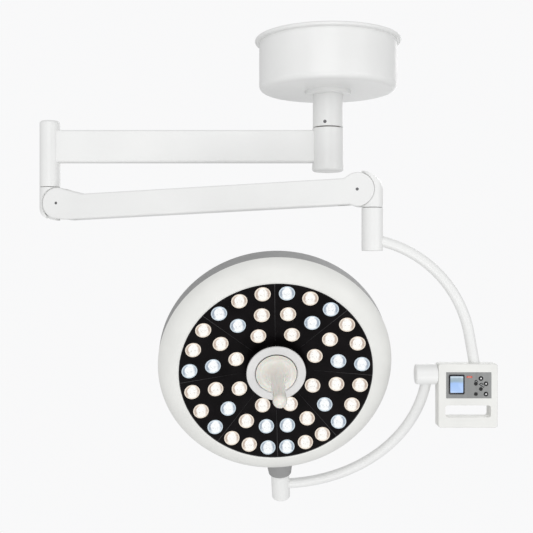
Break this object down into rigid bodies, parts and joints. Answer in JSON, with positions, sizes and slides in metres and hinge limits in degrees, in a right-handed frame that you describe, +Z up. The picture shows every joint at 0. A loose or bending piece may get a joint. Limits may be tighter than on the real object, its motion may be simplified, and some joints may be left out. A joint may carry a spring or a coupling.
{
  "type": "surgical light",
  "caption": "Ceiling-mounted operating light: extension arm, balanced spring arm, double yoke with control box, and a round LED lamp head with a removable centre handle.",
  "frame": {"origin": "centre of the ceiling face of the mounting plate, on the drop tube's axis", "axes": "+Z up into the ceiling, +X along the extension arm from elbow to hub, the operator on the -Y side"},
  "size_m": [1.0108, 0.4957, 1.0618],
  "materials": {
    "white_paint": "satin powder coat",
    "white_shell": "smooth satin moulding",
    "grey_trim": "fine matte moulding",
    "hub_grey": "fine satin moulding",
    "steel": "turned and plated",
    "dark_steel": "black oxide",
    "bronze": "machined",
    "aluminium": "cast and machined",
    "black_panel": "gloss black",
    "warm_lens": "clear, lit warm white",
    "cool_lens": "clear, lit cool white",
    "circuit_board": "solder mask",
    "keypad_grey": "matte membrane",
    "display_blue": "backlit display window",
    "black_key": "matte key",
    "clear_handle": "translucent moulding",
    "driver_case": "folded sheet"
  },
  "bodies": {
    "ceiling_mount": {"ceiling_plate": "steel", "drop_tube": "white_paint", "flange_bolts": "steel", "canopy_cover": "white_paint", "canopy_collar": "white_paint", "locking_screws": "dark_steel", "hub_spindle": "steel", "spindle_nut": "steel", "driver_module": "driver_case"},
    "extension_arm": {"hub_sleeve": "white_paint", "hub_end_cap": "white_paint", "hub_bushes": "bronze", "extension_beam": "white_paint", "elbow_tube": "white_paint", "elbow_cap": "white_paint", "elbow_bushes": "bronze"},
    "elbow": {"elbow_knuckle": "white_paint", "elbow_shaft": "steel", "elbow_pins": "steel"},
    "spring_arm": {"arm_shell_front": "white_paint", "arm_shell_rear": "white_paint", "pivot_screws": "dark_steel", "balance_spring": "steel", "spring_guide_rod": "steel", "spring_seats": "steel"},
    "link": {"parallel_link": "steel"},
    "wrist": {"wrist_knuckle": "white_paint", "wrist_pins": "steel", "wrist_bush": "bronze"},
    "upper_yoke": {"wrist_stub": "white_paint", "upper_yoke_tube": "white_paint", "control_box_front": "white_shell", "control_box_rear": "white_shell", "tilt_axle": "steel", "display_panel": "keypad_grey", "display_module": "display_blue", "switch_board": "circuit_board"},
    "lower_yoke": {"tilt_knuckle": "white_paint", "tilt_bush": "bronze", "lower_yoke_tube": "white_paint", "swivel_stub": "white_paint"},
    "lamp_head": {"rear_shell": "white_shell", "side_band": "grey_trim", "front_bezel": "white_shell", "lens_panels": "black_panel", "lenses_warm": "warm_lens", "lenses_cool": "cool_lens", "led_boards": "circuit_board", "heat_sink": "aluminium", "hub_ring": "hub_grey", "handle_core": "aluminium", "head_boss": "grey_trim"},
    "focus_ring": {"focus_collar": "aluminium"},
    "handle": {"sterile_handle": "clear_handle"},
    "key_up": {"button_up": "black_key"},
    "key_left": {"button_left": "black_key"},
    "key_right": {"button_right": "black_key"},
    "key_down": {"button_down": "black_key"},
    "key_mode": {"button_mode": "black_key"},
    "key_power": {"button_power": "black_key"}
  },
  "joints": [
    {"name": "arm_swing", "type": "hinge", "parent": "ceiling_mount", "child": "extension_arm", "pos_m": [0, 0, -0.25], "axis": [0, 0, 1], "range_deg": [-165, 165]},
    {"name": "elbow_swing", "type": "hinge", "parent": "extension_arm", "child": "elbow", "pos_m": [-0.648, 0, -0.27], "axis": [0, 0, 1], "range_deg": [-150, 150]},
    {"name": "arm_pitch", "type": "hinge", "parent": "elbow", "child": "spring_arm", "pos_m": [-0.62104, -0.00758, -0.382], "axis": [-0.2706, -0.9627, 0], "range_deg": [-45, 18]},
    {"name": "link_swing", "type": "hinge", "parent": "elbow", "child": "link", "pos_m": [-0.62104, -0.00758, -0.405], "axis": [-0.2706, -0.9627, 0], "range_deg": [-45, 18]},
    {"name": "wrist_level", "type": "hinge", "parent": "spring_arm", "child": "wrist", "pos_m": [0.05267, -0.19695, -0.36612], "axis": [-0.2706, -0.9627, 0], "range_deg": [-18, 45]},
    {"name": "yoke_swing", "type": "hinge", "parent": "wrist", "child": "upper_yoke", "pos_m": [0.07962, -0.20453, -0.44612], "axis": [0, 0, 1], "range_deg": [-160, 160]},
    {"name": "head_tilt", "type": "hinge", "parent": "upper_yoke", "child": "lower_yoke", "pos_m": [0.21532, -0.20453, -0.75452], "axis": [1, 0, 0], "range_deg": [-100, 105]},
    {"name": "head_swivel", "type": "hinge", "parent": "lower_yoke", "child": "lamp_head", "pos_m": [-0.12498, -0.15785, -0.7366], "axis": [-0.0454, -0.358, 0.9326], "range_deg": [-150, 150]},
    {"name": "focus_turn", "type": "hinge", "parent": "lamp_head", "child": "focus_ring", "pos_m": [-0.12498, -0.15785, -0.7366], "axis": [0.0523, -0.9332, -0.3557], "range_deg": [-60, 60]},
    {"name": "handle_pull", "type": "slide", "parent": "focus_ring", "child": "handle", "axis": [0.0523, -0.9332, -0.3557], "range_m": [0, 0.11]},
    {"name": "press_up", "type": "slide", "parent": "upper_yoke", "child": "key_up", "axis": [0, 1, 0], "range_m": [0, 0.001], "stiffness_N_per_m": 400},
    {"name": "press_left", "type": "slide", "parent": "upper_yoke", "child": "key_left", "axis": [0, 1, 0], "range_m": [0, 0.001], "stiffness_N_per_m": 400},
    {"name": "press_right", "type": "slide", "parent": "upper_yoke", "child": "key_right", "axis": [0, 1, 0], "range_m": [0, 0.001], "stiffness_N_per_m": 400},
    {"name": "press_down", "type": "slide", "parent": "upper_yoke", "child": "key_down", "axis": [0, 1, 0], "range_m": [0, 0.001], "stiffness_N_per_m": 400},
    {"name": "press_mode", "type": "slide", "parent": "upper_yoke", "child": "key_mode", "axis": [0, 1, 0], "range_m": [0, 0.001], "stiffness_N_per_m": 400},
    {"name": "press_power", "type": "slide", "parent": "upper_yoke", "child": "key_power", "axis": [0, 1, 0], "range_m": [0, 0.001], "stiffness_N_per_m": 400}
  ],
  "couplings": [
    {"joint": "link_swing", "follows": "arm_pitch", "ratio": 1},
    {"joint": "wrist_level", "follows": "arm_pitch", "ratio": -1}
  ]
}
